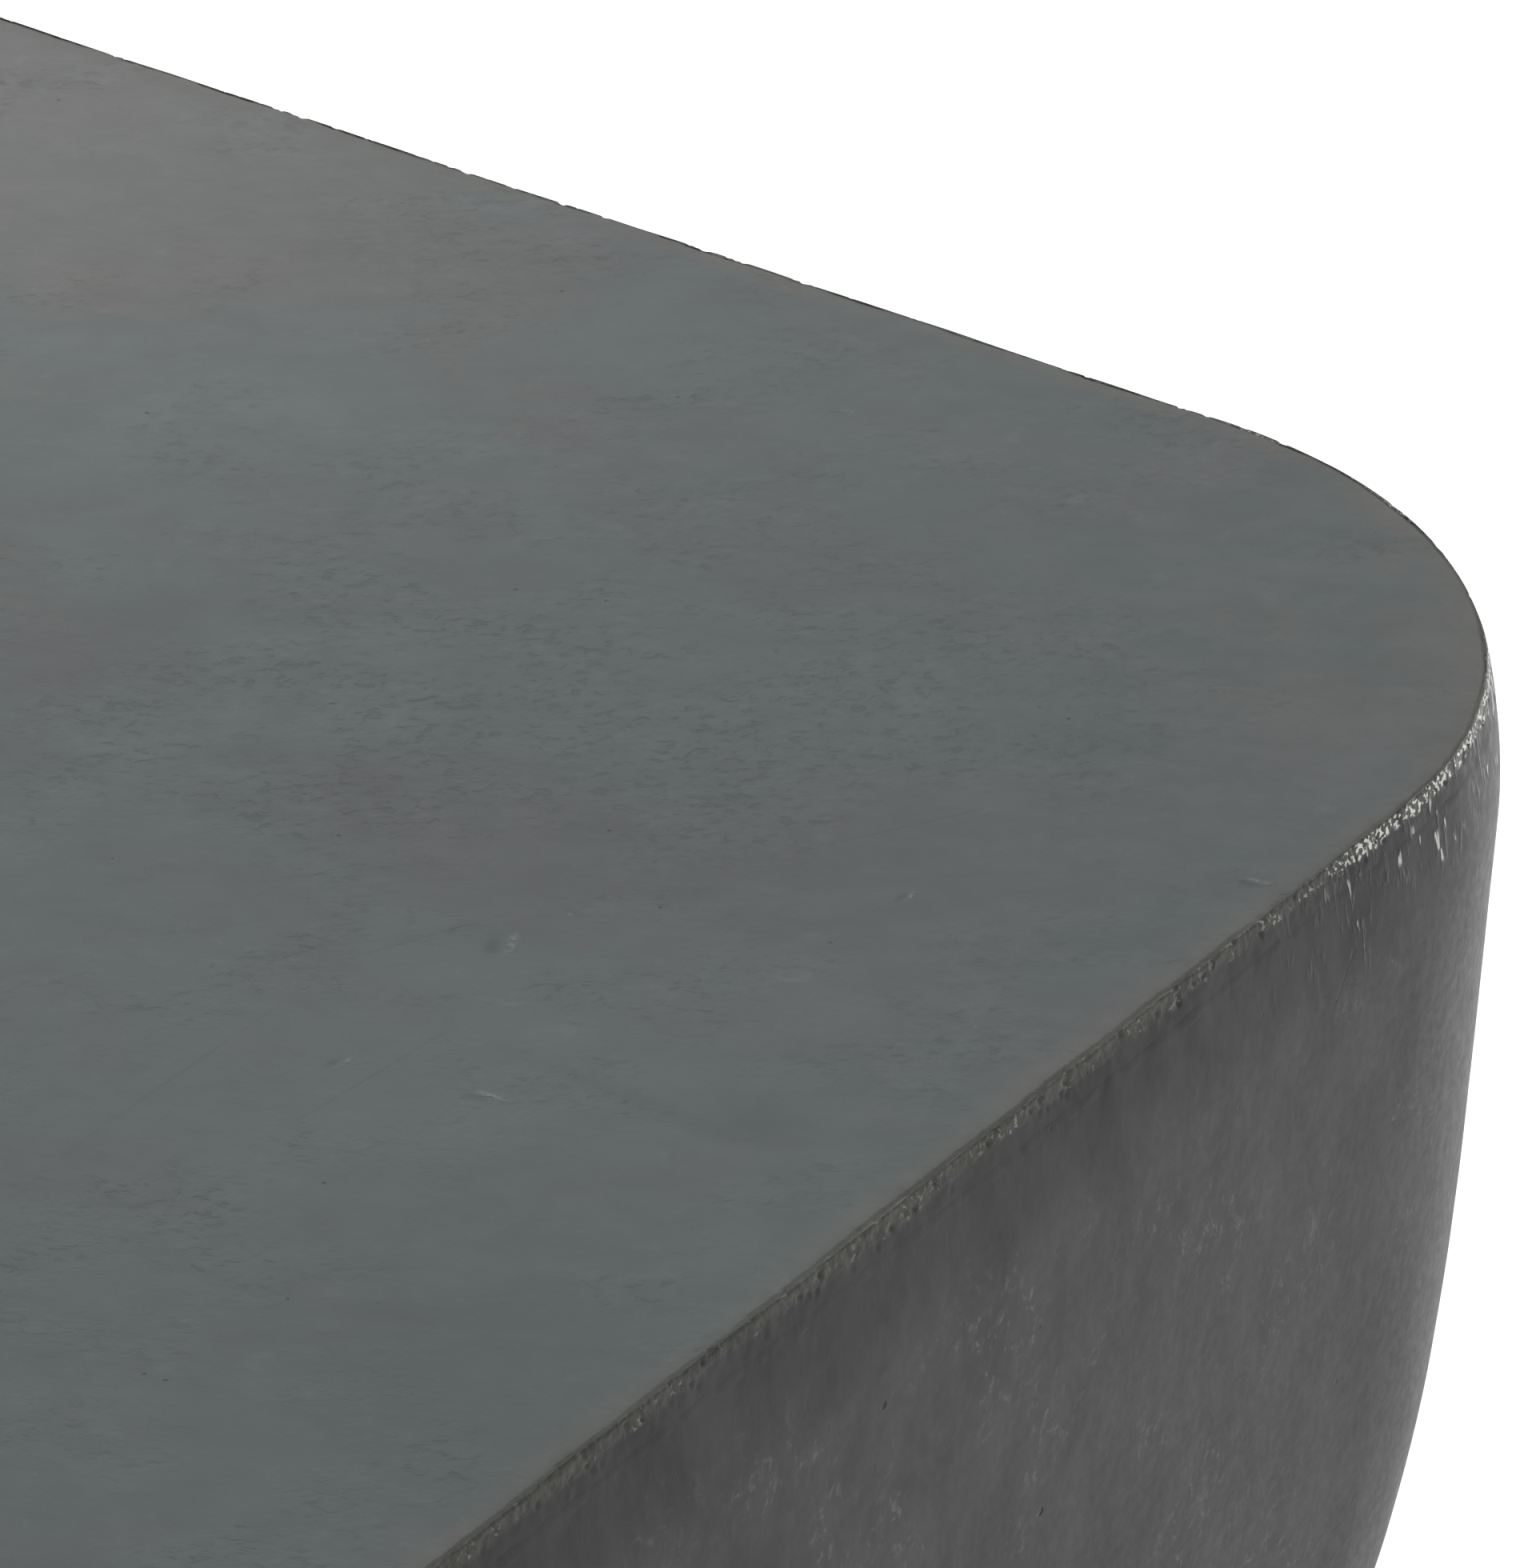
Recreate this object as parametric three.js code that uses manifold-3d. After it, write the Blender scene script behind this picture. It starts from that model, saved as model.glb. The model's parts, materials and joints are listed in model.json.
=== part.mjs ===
// Low square table of cast concrete, built as a hollow side casting under a hand-trowelled top slab.
// Millimetres, +Z up. The origin lies on the floor under the middle of the table, X and Y run along
// its sides, and all four levelling feet are screwed fully in.
import * as THREE from 'three';
import { mergeVertices } from 'three/addons/utils/BufferGeometryUtils.js';
import Module from 'manifold-3d';

const wasm = await Module();
wasm.setup();

// The whole table.
const TOP_SIDE = 800; // width of the flat top face
const TOP_CORNER_R = 156; // its corner radius in plan
const HEIGHT = 400; // floor to top face
const FLOOR_GAP = 6; // floor to the underside of the casting
const GAP = 0.3; // clearance kept between touching pieces

// Side profile: how far the side stands out from the edge of the top face, by depth below that face.
const SWELL = 5.5; // greatest swell, just under the arris
const SWELL_DEPTH = 41; // depth of the greatest girth
const TAPER = 13.8; // part of the inward lean that is straight
const TUCK = 50.8; // part of the inward lean that curves in towards the base
const TUCK_POWER = 3.95; // how late that curve gathers

// Castings.
const ARRIS = 1.2; // bevel around the top face
const SLAB_EDGE = 10; // edge of the top slab that shows above the joint
const SLAB_DEPTH = 20; // slab thickness inside the side casting
const RIB_DEPTH = 22; // the crossed ribs under the slab
const RIB_WIDTH = 36;
const BED = 2; // mortar joint between slab and side casting
const WALL = 14; // side casting, measured level
const FLANGE_TOP = 42; // top of the inward base flange
const OPENING_HALF = 236; // half width of the opening inside that flange
const OPENING_R = 24;
const BASE_BEVEL = 7; // bevel around the underside
const SHELL_LEVELS = 15; // rings from the mortar joint down to the base bevel
const ARC_STEPS = 12; // straight facets in each rounded corner

// Closing board under the hollow, and its fixings.
const BOARD = 12;
const BOARD_INSET = 2; // the board lies this far up inside the underside
const BOARD_HALF = 264;
const BOARD_R = 40;
const SCREW_LINE = 250; // from the middle of the table to each row of screws
const SCREW_SPREAD = 120; // from a side's middle to each of its two screws
const SCREW_R = 2.9;
const SCREW_LENGTH = 25;
const SCREW_HEAD_R = 6;
const SCREW_HEAD = 3.4;
const WASHER_R = 8;
const WASHER = 1.6;
const BOARD_INSERT_R = 4.8;
const BOARD_INSERT = 12;

// Levelling feet.
const FOOT_AT = 284; // from the middle of the table, along X and along Y
const SOLE_R = 18;
const SOLE = 3;
const PAD_R = 19;
const PAD_TOP = 9;
const COLLAR_ACROSS = 17; // across the flats of the stud's hexagon
const COLLAR = 5;
const STUD_R = 5;
const STUD_TOP = 36;
const NECK_R = 3; // the riveted end that turns in the pad
const RIVET_R = 6;
const RIVET = 1.8;
const POCKET_R = 22; // recess in the base around each foot
const POCKET_TOP = 15;
const FOOT_INSERT_R = 8;
const FOOT_INSERT = 18;
const STUD_HOLE_TOP = 38; // clearance above the insert for the stud

const MATERIALS = {
  trowelledConcrete: [0x636869, 0.62, 0],
  castConcrete: [0x565656, 0.55, 0],
  mortar: [0x62635c, 0.8, 0],
  plywood: [0x3a2f27, 0.75, 0],
  zincSteel: [0xb4b8bc, 0.35, 1],
  brass: [0xb08d45, 0.4, 1],
  nylon: [0x1b1b1d, 0.5, 0],
  rubber: [0x262626, 0.85, 0],
};

const table = new THREE.Group();

function place(name, geometry, material, position = [0, 0, 0]) {
  const [color, roughness, metalness] = MATERIALS[material];
  const mesh = new THREE.Mesh(geometry, new THREE.MeshStandardMaterial({ color, roughness, metalness }));
  mesh.name = name;
  mesh.position.set(...position);
  table.add(mesh);
}

// How far the side stands out from the top face's edge, at a height above the floor.
function sideOffset(z) {
  const depth = HEIGHT - z;
  const swell = SWELL * Math.sin((Math.min(depth / SWELL_DEPTH, 1) * Math.PI) / 2);
  const lean = Math.max(depth - SWELL_DEPTH, 0) / (HEIGHT - SWELL_DEPTH);
  return swell - TAPER * lean - TUCK * lean ** TUCK_POWER;
}

// One level of the table's own outline, moved out (or in, if negative) by offset.
function level(offset, z) {
  return { half: TOP_SIDE / 2 + offset, radius: TOP_CORNER_R + offset, z };
}

function sideLevel(z, inward = 0) {
  return level(sideOffset(z) - inward, z);
}

// Corner points of a rounded square, anticlockwise seen from above.
function ring({ half, radius, z }) {
  const points = [];
  for (let corner = 0; corner < 4; corner++) {
    for (let step = 0; step <= ARC_STEPS; step++) {
      const angle = ((corner + step / ARC_STEPS) * Math.PI) / 2;
      const middle = half - radius;
      const side = (corner + 0.5) * (Math.PI / 2);
      const x = Math.sign(Math.cos(side)) * middle + radius * Math.cos(angle);
      const y = Math.sign(Math.sin(side)) * middle + radius * Math.sin(angle);
      points.push([x, y, z]);
    }
  }
  return points;
}

// A solid through a stack of rounded squares. A hollow one goes up outside and down inside.
function stack(levels, hollow = false) {
  const rings = levels.map(ring);
  const count = rings[0].length;
  const positions = rings.flat(2);
  const faces = [];
  const bands = hollow ? levels.length : levels.length - 1;
  for (let i = 0; i < bands; i++) {
    const low = i * count;
    const high = ((i + 1) % levels.length) * count;
    for (let j = 0; j < count; j++) {
      const next = (j + 1) % count;
      faces.push(low + j, low + next, high + next, low + j, high + next, high + j);
    }
  }
  if (!hollow) {
    const last = (levels.length - 1) * count;
    for (let j = 1; j < count - 1; j++) {
      faces.push(0, j + 1, j, last, last + j, last + j + 1);
    }
  }
  const geometry = new THREE.BufferGeometry();
  geometry.setAttribute('position', new THREE.Float32BufferAttribute(positions, 3));
  geometry.setIndex(faces);
  geometry.computeVertexNormals();
  return geometry;
}

// A solid of revolution about Z from [radius, z] points.
function turned(points, steps) {
  const profile = points.map(([r, z]) => new THREE.Vector2(r, z));
  return new THREE.LatheGeometry(profile, steps).rotateX(Math.PI / 2);
}

function rod(radius, bottom, top, steps) {
  return turned([[0, bottom], [radius, bottom], [radius, top], [0, top]], steps);
}

function tube(inner, outer, bottom, top, steps) {
  return turned([[inner, bottom], [outer, bottom], [outer, top], [inner, top], [inner, bottom]], steps);
}

function solid(geometry) {
  const bare = geometry.clone();
  bare.deleteAttribute('normal');
  bare.deleteAttribute('uv');
  const merged = mergeVertices(bare, 1e-4);
  return new wasm.Manifold(new wasm.Mesh({
    numProp: 3,
    vertProperties: new Float32Array(merged.attributes.position.array),
    triVerts: new Uint32Array(merged.index.array),
  }));
}

function toGeometry(manifold) {
  const { vertProperties, triVerts } = manifold.getMesh();
  const geometry = new THREE.BufferGeometry();
  geometry.setAttribute('position', new THREE.BufferAttribute(new Float32Array(vertProperties), 3));
  geometry.setIndex(new THREE.BufferAttribute(new Uint32Array(triVerts), 1));
  geometry.computeVertexNormals();
  return geometry;
}

function cut(body, tools) {
  return toGeometry(tools.reduce((left, tool) => left.subtract(solid(tool)), solid(body)));
}

function join(bodies) {
  return toGeometry(bodies.map(solid).reduce((left, right) => left.add(right)));
}

// Top slab: a bevelled arris, an edge band that shows, a plug that drops inside the side casting,
// and two crossed ribs below.
function topSlab() {
  const under = HEIGHT - SLAB_EDGE;
  const plugEdge = -WALL - 4;
  const plate = stack([
    level(plugEdge, HEIGHT - SLAB_DEPTH),
    level(plugEdge, under),
    sideLevel(under),
    sideLevel(HEIGHT - ARRIS),
    level(-ARRIS, HEIGHT),
  ]);
  const ribLength = 2 * (TOP_SIDE / 2 - WALL - 44);
  const ribAt = HEIGHT - SLAB_DEPTH - RIB_DEPTH / 2 + 1;
  const ribX = new THREE.BoxGeometry(ribLength, RIB_WIDTH, RIB_DEPTH + 2).translate(0, 0, ribAt);
  const ribY = ribX.clone().rotateZ(Math.PI / 2);
  return join([plate, ribX, ribY]);
}

// Mortar joint: a flat ring between slab and side casting, tooled flush outside.
function mortarBed() {
  const top = HEIGHT - SLAB_EDGE - GAP;
  const bottom = HEIGHT - SLAB_EDGE - BED + GAP;
  return stack([
    sideLevel(bottom, GAP),
    sideLevel(top, GAP),
    sideLevel(top, WALL - 1),
    sideLevel(bottom, WALL - 1),
  ], true);
}

// Side casting: outer face from the base bevel up to the mortar joint, then the inner face down to
// the base flange, its opening, and the rebate that holds the closing board.
function sideShell() {
  const rim = HEIGHT - SLAB_EDGE - BED;
  const bevelTop = FLOOR_GAP + BASE_BEVEL;
  const outside = [sideLevel(FLOOR_GAP, BASE_BEVEL)];
  const inside = [];
  for (let i = 0; i < SHELL_LEVELS; i++) {
    // Levels crowd towards the base and the rim, where the profile bends most.
    const share = (1 - Math.cos((Math.PI * i) / (SHELL_LEVELS - 1))) / 2;
    outside.push(sideLevel(THREE.MathUtils.lerp(bevelTop, rim, share)));
  }
  for (let i = 0; i < SHELL_LEVELS / 2; i++) {
    const share = i / (SHELL_LEVELS / 2 - 0.5);
    inside.push(sideLevel(THREE.MathUtils.lerp(rim, FLANGE_TOP + WALL, share), WALL));
  }
  const rebateTop = FLOOR_GAP + BOARD_INSET + BOARD + GAP;
  const opening = { half: OPENING_HALF, radius: OPENING_R };
  const rebate = { half: BOARD_HALF + GAP, radius: BOARD_R + GAP };
  const flange = [
    sideLevel(FLANGE_TOP, 2 * WALL),
    { ...opening, z: FLANGE_TOP },
    { ...opening, z: rebateTop },
    { ...rebate, z: rebateTop },
    { ...rebate, z: FLOOR_GAP },
  ];
  return cut(stack([...outside, ...inside, ...flange], true), [...footHoles(), ...boardInsertHoles()]);
}

// The four feet stand at the corners, named as seen from the front (-Y).
function forEachFoot(action) {
  const corners = { front_left: [-1, -1], front_right: [1, -1], back_right: [1, 1], back_left: [-1, 1] };
  return Object.entries(corners).map(([name, [x, y]]) => action(name, [x * FOOT_AT, y * FOOT_AT, 0]));
}

// Two screws along each side of the board.
function forEachScrew(action) {
  const results = [];
  for (let side = 0; side < 4; side++) {
    for (const along of [-SCREW_SPREAD, SCREW_SPREAD]) {
      const at = new THREE.Vector3(SCREW_LINE, along, 0);
      at.applyAxisAngle(new THREE.Vector3(0, 0, 1), (side * Math.PI) / 2);
      results.push(action(results.length + 1, at.toArray()));
    }
  }
  return results;
}

function footHoles() {
  return forEachFoot((name, at) => turned([
    [0, FLOOR_GAP - 1],
    [POCKET_R, FLOOR_GAP - 1],
    [POCKET_R, POCKET_TOP],
    [FOOT_INSERT_R + GAP, POCKET_TOP],
    [FOOT_INSERT_R + GAP, POCKET_TOP + FOOT_INSERT + GAP],
    [STUD_R + 1, POCKET_TOP + FOOT_INSERT + GAP],
    [STUD_R + 1, STUD_HOLE_TOP],
    [0, STUD_HOLE_TOP],
  ], 24).translate(...at));
}

function boardInsertHoles() {
  const bottom = FLOOR_GAP + BOARD_INSET + BOARD - 1;
  const hole = rod(BOARD_INSERT_R + GAP, bottom, bottom + BOARD_INSERT + 5, 12);
  return forEachScrew((number, at) => hole.clone().translate(...at));
}

function baseBoard() {
  const bottom = FLOOR_GAP + BOARD_INSET;
  const size = { half: BOARD_HALF, radius: BOARD_R };
  const hole = rod(SCREW_R + 2 * GAP, bottom - 1, bottom + BOARD + 1, 12);
  const holes = forEachScrew((number, at) => hole.clone().translate(...at));
  return cut(stack([{ ...size, z: bottom }, { ...size, z: bottom + BOARD }]), holes);
}

// Pan-head machine screw, washer and threaded insert that hold the board at one place.
function addBoardFixing(number, at) {
  const board = FLOOR_GAP + BOARD_INSET;
  const washerTop = board - GAP;
  const headTop = washerTop - WASHER - GAP;
  const screw = turned([
    [0, headTop - SCREW_HEAD],
    [SCREW_HEAD_R - 2, headTop - SCREW_HEAD],
    [SCREW_HEAD_R, headTop - SCREW_HEAD / 2],
    [SCREW_HEAD_R, headTop],
    [SCREW_R, headTop],
    [SCREW_R, headTop + SCREW_LENGTH],
    [0, headTop + SCREW_LENGTH],
  ], 12);
  const insertBottom = board + BOARD + 2 * GAP;
  const insert = tube(SCREW_R + GAP, BOARD_INSERT_R, insertBottom, insertBottom + BOARD_INSERT, 12);
  place(`board_screw_${number}`, screw, 'zincSteel', at);
  place(`board_washer_${number}`, tube(SCREW_R + GAP, WASHER_R, washerTop - WASHER, washerTop, 16),
    'zincSteel', at);
  place(`board_insert_${number}`, insert, 'brass', at);
}

// One levelling foot: rubber sole, nylon pad, steel stud that turns in the pad, and its brass insert.
function addFoot(name, at) {
  place(`${name}_foot_sole`, rod(SOLE_R, 0, SOLE, 20), 'rubber', at);
  place(`${name}_foot_pad`, footPad(), 'nylon', at);
  place(`${name}_foot_stud`, footStud(), 'zincSteel', at);
  place(`${name}_foot_insert`, tube(STUD_R + GAP, FOOT_INSERT_R, POCKET_TOP, POCKET_TOP + FOOT_INSERT, 16),
    'brass', at);
}

// The pad is a ring with a step inside that the stud's rivet end is caught under.
function footPad() {
  const bottom = SOLE + GAP;
  const step = bottom + GAP + RIVET + GAP;
  return turned([
    [RIVET_R + GAP, bottom],
    [PAD_R - 1, bottom],
    [PAD_R, bottom + 1],
    [PAD_R, PAD_TOP - 2],
    [PAD_R - 4, PAD_TOP],
    [NECK_R + GAP, PAD_TOP],
    [NECK_R + GAP, step],
    [RIVET_R + GAP, step],
    [RIVET_R + GAP, bottom],
  ], 20);
}

function footStud() {
  const rivetBottom = SOLE + 2 * GAP;
  const rivetTop = rivetBottom + RIVET;
  const collarBottom = PAD_TOP + GAP;
  const collarTop = collarBottom + COLLAR;
  const shank = turned([
    [0, rivetBottom],
    [RIVET_R, rivetBottom],
    [RIVET_R, rivetTop],
    [NECK_R, rivetTop],
    [NECK_R, collarBottom + 1],
    [STUD_R, collarBottom + 1],
    [STUD_R, STUD_TOP - 1],
    [STUD_R - 1, STUD_TOP],
    [0, STUD_TOP],
  ], 16);
  const collarR = COLLAR_ACROSS / 2 / Math.cos(Math.PI / 6);
  const collar = new THREE.CylinderGeometry(collarR, collarR, COLLAR, 6)
    .rotateX(Math.PI / 2)
    .translate(0, 0, (collarBottom + collarTop) / 2);
  return join([shank, collar]);
}

place('top_slab', topSlab(), 'trowelledConcrete');
place('mortar_bed', mortarBed(), 'mortar');
place('side_shell', sideShell(), 'castConcrete');
place('base_board', baseBoard(), 'plywood');
forEachScrew(addBoardFixing);
forEachFoot(addFoot);

export default table;
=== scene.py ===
import json
import math
from functools import reduce

import bmesh
import bpy
import numpy as np
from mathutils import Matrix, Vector, noise
from mathutils.geometry import tessellate_polygon

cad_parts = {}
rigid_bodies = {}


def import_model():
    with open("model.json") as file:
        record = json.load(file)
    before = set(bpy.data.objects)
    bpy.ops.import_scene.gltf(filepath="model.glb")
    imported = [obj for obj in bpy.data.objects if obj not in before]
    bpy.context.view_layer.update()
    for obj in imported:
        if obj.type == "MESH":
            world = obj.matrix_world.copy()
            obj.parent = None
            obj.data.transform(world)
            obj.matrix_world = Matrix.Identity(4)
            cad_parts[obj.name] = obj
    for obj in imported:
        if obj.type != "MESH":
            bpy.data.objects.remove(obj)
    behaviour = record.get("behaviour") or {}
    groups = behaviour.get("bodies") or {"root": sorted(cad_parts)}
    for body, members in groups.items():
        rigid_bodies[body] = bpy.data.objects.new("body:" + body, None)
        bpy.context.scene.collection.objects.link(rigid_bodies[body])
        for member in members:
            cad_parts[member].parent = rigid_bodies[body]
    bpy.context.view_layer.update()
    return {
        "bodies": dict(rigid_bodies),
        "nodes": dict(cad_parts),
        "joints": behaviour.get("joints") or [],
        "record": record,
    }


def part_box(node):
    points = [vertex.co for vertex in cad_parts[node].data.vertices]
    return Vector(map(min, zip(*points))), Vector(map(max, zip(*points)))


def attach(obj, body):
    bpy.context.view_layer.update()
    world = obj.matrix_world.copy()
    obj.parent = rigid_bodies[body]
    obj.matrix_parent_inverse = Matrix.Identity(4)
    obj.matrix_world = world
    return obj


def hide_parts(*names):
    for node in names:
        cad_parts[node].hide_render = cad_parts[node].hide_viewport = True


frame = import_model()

MM = 0.001

# The table's own shape, in metres, as the CAD model has it.
TOP_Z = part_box("top_slab")[1].z
BASE_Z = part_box("side_shell")[0].z
TOP_HALF = 400 * MM
CORNER_R = 156 * MM
SPINE = TOP_HALF - CORNER_R  # half width of the square that the round outline is offset from
SWELL = 5.5 * MM
SWELL_DEPTH = 41 * MM
TAPER = 13.8 * MM
TUCK = 50.8 * MM
TUCK_POWER = 3.95
WALL = 14 * MM
SLAB_EDGE = 10 * MM
SLAB_DEPTH = 20 * MM
RIB = (18 * MM, 342 * MM, 22 * MM)  # half width, half length and depth
JOINT = 2 * MM
BASE_BEVEL = 7 * MM
FLANGE_TOP = 42 * MM
OPENING = (236 * MM, 24 * MM)  # half width and corner radius
REBATE = (264.3 * MM, 40.3 * MM)
BOARD = (264 * MM, 40 * MM)
FOOT_AT = 284 * MM
POCKET = (22 * MM, 15 * MM)  # radius, and height of its ceiling
BOARD_SCREW = (250 * MM, 120 * MM)  # out from the middle of the table, and along each side

# Points round the outline where the surface is finest. Other rings have a half, a quarter and so on.
COLUMNS = 3584


# ---------------------------------------------------------------- outline and profile


def side_offset(depth):
    """How far the side stands out from the top outline, at a depth below the top face."""
    swell = SWELL * math.sin(min(depth / SWELL_DEPTH, 1) * math.pi / 2)
    lean = max(depth - SWELL_DEPTH, 0) / (TOP_Z - SWELL_DEPTH)
    return swell - TAPER * lean - TUCK * lean**TUCK_POWER


def spine_columns(count):
    """Evenly spaced places round the outline, as points on the spine square and outward normals."""
    straight, arc = 2 * SPINE, CORNER_R * math.pi / 2
    side, rest = np.divmod(np.arange(count) * (4 * (straight + arc) / count), straight + arc)
    turn = side * math.pi / 2
    bend = turn + np.clip((rest - straight) / arc, 0, 1) * math.pi / 2
    level = np.minimum(rest, straight) - SPINE
    cos, sin = np.cos(turn), np.sin(turn)
    spine = np.column_stack([SPINE * cos - level * sin, SPINE * sin + level * cos])
    return spine, np.column_stack([np.cos(bend), np.sin(bend)])


def square_ring(count, half, radius, z):
    """A ring on a rounded square of any size, in step with the table's own outline."""
    spine, normal = spine_columns(count)
    radius = np.broadcast_to(radius, count)[:, None]
    flat = spine * ((half - radius) / SPINE) + normal * radius
    return np.column_stack([flat, np.broadcast_to(z, count)])


def outline_ring(count, offset, z):
    """A ring on the table's outline moved out by offset, which is a number or one for each column."""
    spine, normal = spine_columns(count)
    out = CORNER_R + np.broadcast_to(offset, count)[:, None]
    return np.column_stack([spine + normal * out, np.broadcast_to(z, count)])


def round_ring(count, radius, z, at=(0, 0)):
    """A ring round a vertical axis. radius and z are numbers or one for each point."""
    angle = np.arange(count) * (2 * math.pi / count)
    x, y = at[0] + radius * np.cos(angle), at[1] + radius * np.sin(angle)
    return np.column_stack([x, y, np.broadcast_to(z, count)])


def hexagon(count, across):
    """The radius of a hexagon of that width across its flats, for each of count points round it."""
    angle = np.arange(count) * (2 * math.pi / count)
    return across / 2 / np.cos(angle % (math.pi / 3) - math.pi / 6)


def noise_at(points, size, seed=0.0):
    """Perlin noise, about -1 to 1, at each point, with features of about that size."""
    shift = Vector((seed, 3.1 * seed, -1.7 * seed))
    return np.array([noise.noise(Vector(p) / size + shift) for p in points])


def smooth(low, high, value):
    t = np.clip((value - low) / (high - low), 0, 1)
    return t * t * (3 - 2 * t)


def pits_at(points, size, share, seed):
    """From 0 to 1, how deep each point lies in round pits scattered over a share of the cells."""
    depths = []
    for p in points:
        near, centres = noise.voronoi(Vector(p) / size + Vector((seed, 0, 0)))
        chosen = noise.cell(centres[0] * 7.3) % 1.0 < share
        depths.append((1 - smooth(0.12, 0.42, near[0])) * chosen)
    return np.array(depths)


def wander(count, depth=0.0):
    """How far the hand-made edge strays outward at each column. It dies away down the side."""
    edge = outline_ring(count, 0, TOP_Z)
    wave = 0.6 * noise_at(edge, 75 * MM, 4) + 0.45 * noise_at(edge, 26 * MM, 9)
    return wave * MM * math.exp(-depth / (30 * MM))


# ---------------------------------------------------------------- meshes


def join_rings(first, n, second, m):
    """Faces between a ring of n points and the next, of m. One may have half the other's points."""
    if n == m:
        a, b = np.arange(n), (np.arange(n) + 1) % n
        return np.column_stack([first + a, first + b, second + b, second + a]).tolist()
    j = np.arange(min(n, m))
    k = (j + 1) % min(n, m)
    if n > m:
        near, odd, far = first + 2 * j, first + 2 * j + 1, first + (2 * j + 2) % n
        a, b = second + j, second + k
        trios = [(near, odd, a), (odd, b, a), (odd, far, b)]
    else:
        near, odd, far = second + 2 * j, second + 2 * j + 1, second + (2 * j + 2) % m
        a, b = first + j, first + k
        trios = [(a, odd, near), (a, b, odd), (b, far, odd)]
    return [face for trio in trios for face in np.column_stack(trio).tolist()]


class Skin:
    """Points and faces gathered into one mesh, and welded where they meet."""

    def __init__(self):
        self.points, self.faces = [], []

    def add(self, points, faces):
        start = len(self.points)
        self.points += np.asarray(points).tolist()
        self.faces += [[start + i for i in face] for face in faces]

    def through(self, rings, closed=False, caps=False):
        """A skin through a stack of rings. It faces outward where the rings go up."""
        starts = np.cumsum([0] + [len(r) for r in rings])
        faces = []
        for i in range(len(rings) - (not closed)):
            j = (i + 1) % len(rings)
            faces += join_rings(starts[i], len(rings[i]), starts[j], len(rings[j]))
        if caps:
            faces.append(list(range(len(rings[0])))[::-1])
            faces.append([int(starts[-2]) + i for i in range(len(rings[-1]))])
        self.add(np.vstack(rings), faces)
        return self

    def underside(self, outline, holes):
        """A flat downward face inside an outline, with holes."""
        loops = [outline] + holes
        triangles = tessellate_polygon([[Vector(p) for p in loop] for loop in loops])
        points = np.vstack(loops)
        a, b, c = points[list(triangles[0])]
        if np.cross(b - a, c - a)[2] > 0:
            triangles = [triangle[::-1] for triangle in triangles]
        self.add(points, triangles)

    def mesh(self, name, crease):
        """The finished mesh, shaded smooth except at corners sharper than crease degrees."""
        made = bpy.data.meshes.new(name)
        made.from_pydata(self.points, [], self.faces)
        edit = bmesh.new()
        edit.from_mesh(made)
        bmesh.ops.remove_doubles(edit, verts=edit.verts, dist=1e-7)
        edit.to_mesh(made)
        edit.free()
        made.shade_smooth()
        made.set_sharp_from_angle(angle=math.radians(crease))
        return made


def piece(name, skin, crease, material, body, node):
    """Puts a skin in the scene as a piece that rides on a body and stands for one CAD node."""
    mesh = skin.mesh(name, crease)
    mesh.materials.append(material)
    made = bpy.data.objects.new(name, mesh)
    bpy.context.scene.collection.objects.link(made)
    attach(made, body)
    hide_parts(node)


# ---------------------------------------------------------------- castings


def hand_skin(depth, count, extra=0.0):
    """A ring of the outer face at a depth, with the slight unevenness left by mould and hand."""
    plain = outline_ring(count, side_offset(depth), TOP_Z - depth)
    uneven = 0.34 * noise_at(plain, 85 * MM, 41) + 0.13 * noise_at(plain, 27 * MM, 42)
    near_top = math.exp(-max(depth - SLAB_EDGE, 0) / (12 * MM))
    uneven += near_top * (0.3 * noise_at(plain, 11 * MM, 44) + 0.16 * noise_at(plain, 4 * MM, 45))
    out = side_offset(depth) + wander(count, depth) + (uneven + extra) * MM
    return outline_ring(count, out, TOP_Z - depth)


def slab_band():
    """Rings of the slab's showing edge, up from the joint and over the chipped arris."""
    n = COLUMNS
    rings = []
    for depth in np.linspace(SLAB_EDGE - 0.15 * MM, 1.4 * MM, 11):
        plain = outline_ring(n, side_offset(depth), TOP_Z - depth)
        rough = 0.16 * noise_at(plain, 2.6 * MM, 2) - 0.6 * pits_at(plain, 3.4 * MM, 0.4, 1)
        rings.append(hand_skin(depth, n, rough * smooth(9 * MM, 5 * MM, depth)))
    crest = outline_ring(n, 0, TOP_Z)
    edge = wander(n) + 0.34 * noise_at(crest, 85 * MM, 41) * MM
    chip = np.maximum(noise_at(crest, 4.5 * MM, 7) + 0.6 * noise_at(crest, 1.9 * MM, 8) - 0.25, 0)
    groove = smooth(-0.5, 0.4, noise_at(crest, 26 * MM, 11) + 0.5 * noise_at(crest, 6 * MM, 12))
    # Lines across the arris: how far inward and down each lies, in millimetres.
    lines = [
        (-0.1 + 0.5 * chip, 0.85 + 0.7 * chip),
        (0.2 + 0.9 * chip, 0.4 + 0.5 * chip),
        (0.8 + 0.9 * chip, 0.4 + 0.25 * chip + 0.5 * groove),
        (1.5 + 0.7 * chip, 0.3 + 0.25 * groove),
        (2.8 + 0.3 * chip, 0.14),
        (4.6, 0.1),
    ]
    for inward, down in lines:
        rings.append(outline_ring(n, edge - inward * MM, TOP_Z - down * MM))
    return rings


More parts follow.
